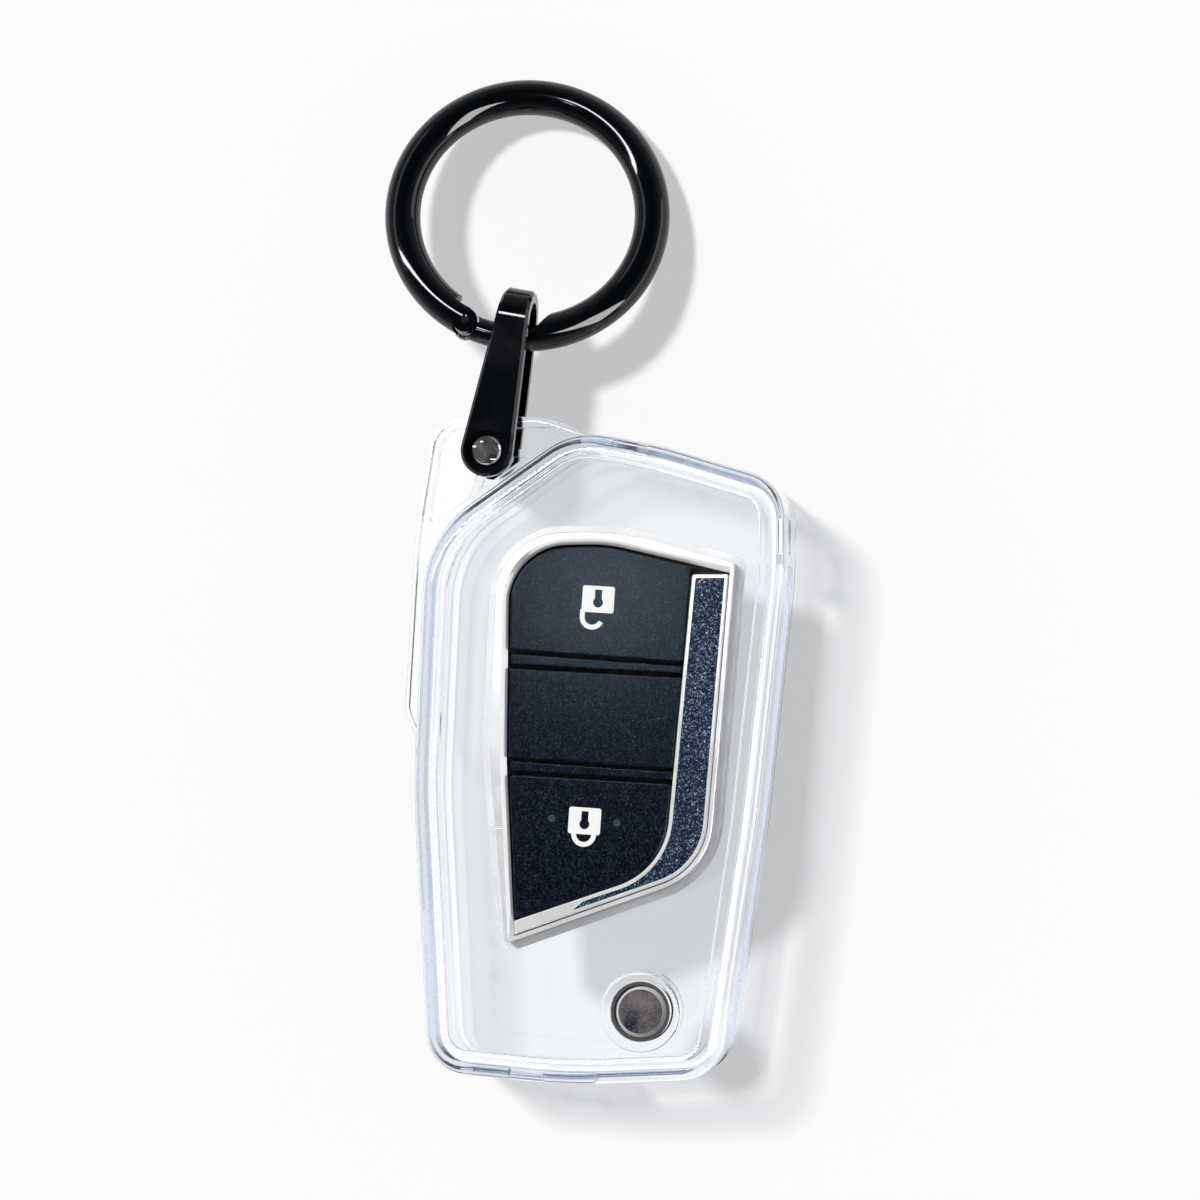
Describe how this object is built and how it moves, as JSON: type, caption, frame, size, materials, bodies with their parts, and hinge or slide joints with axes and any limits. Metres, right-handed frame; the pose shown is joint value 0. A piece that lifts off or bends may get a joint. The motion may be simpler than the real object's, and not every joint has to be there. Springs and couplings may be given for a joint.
{
  "type": "key fob cover",
  "caption": "Clear snap-together hard cover for a folding key fob, with a press-through button pad, a round release button, a screwed strap clip and a gated ring.",
  "frame": {"origin": "centre of the back face, which the cover lies on", "axes": "+Y along the case towards the ring, +X across it towards the blade slot, +Z out of the front face"},
  "size_m": [0.0506, 0.124, 0.018],
  "materials": {
    "clear_plastic": "crystal clear, polished",
    "bright_trim": "mirror-bright plating",
    "black_plastic": "fine-grained, satin",
    "base_plastic": "matt black",
    "white_print": "matt white",
    "glitter_film": "dark blue film with fine glitter",
    "silicone": "matt",
    "dark_mirror": "dark mirror",
    "black_metal": "gloss black plating",
    "bright_steel": "polished steel"
  },
  "bodies": {
    "rear_half": {"rear_shell": "clear_plastic"},
    "front_half": {"front_shell": "clear_plastic", "bezel_frame": "bright_trim", "keypad_base": "base_plastic", "blank_key": "black_plastic", "divider_upper": "black_plastic", "divider_lower": "black_plastic", "trim_bar": "bright_trim", "trim_inlay": "glitter_film", "release_gasket": "silicone", "unlock_dome": "silicone", "lock_dome": "silicone"},
    "unlock_button": {"unlock_key": "black_plastic", "unlock_sign": "white_print"},
    "lock_button": {"lock_key": "black_plastic", "lock_sign": "white_print"},
    "release_button": {"release_cap": "bright_trim", "release_mirror": "dark_mirror"},
    "strap": {"clip_strap": "black_metal", "clip_screw": "bright_steel", "clip_nut": "bright_steel"},
    "gate": {"ring_gate": "black_metal"},
    "ring": {"ring_body": "black_metal", "gate_pin": "bright_steel"}
  },
  "joints": [
    {"name": "front_lift", "type": "slide", "parent": "rear_half", "child": "front_half", "axis": [0, 0, 1], "range_m": [0, 0.025]},
    {"name": "unlock_press", "type": "slide", "parent": "front_half", "child": "unlock_button", "axis": [0, 0, -1], "range_m": [0, 0.0006], "stiffness_N_per_m": 2000, "deforming": ["unlock_dome"]},
    {"name": "lock_press", "type": "slide", "parent": "front_half", "child": "lock_button", "axis": [0, 0, -1], "range_m": [0, 0.0006], "stiffness_N_per_m": 2000, "deforming": ["lock_dome"]},
    {"name": "release_press", "type": "slide", "parent": "front_half", "child": "release_button", "axis": [0, 0, -1], "range_m": [0, 0.0015], "stiffness_N_per_m": 1200},
    {"name": "strap_swing", "type": "hinge", "parent": "rear_half", "child": "strap", "pos_m": [-0.01437, 0.03785, 0.009], "axis": [0, 0, 1], "range_deg": [-30, 120]},
    {"name": "ring_swing", "type": "hinge", "parent": "strap", "child": "gate", "pos_m": [-0.01165, 0.05199, 0.0092], "axis": [-0.9894, 0.0996, 0.1061], "range_deg": [-95, 0]},
    {"name": "gate_open", "type": "hinge", "parent": "gate", "child": "ring", "pos_m": [-0.01753, 0.05373, 0.00959], "axis": [-0.1242, -0.1988, -0.9721], "range_deg": [0, 12], "stiffness_Nm_per_rad": 0.1, "springref_deg": -11.46}
  ]
}
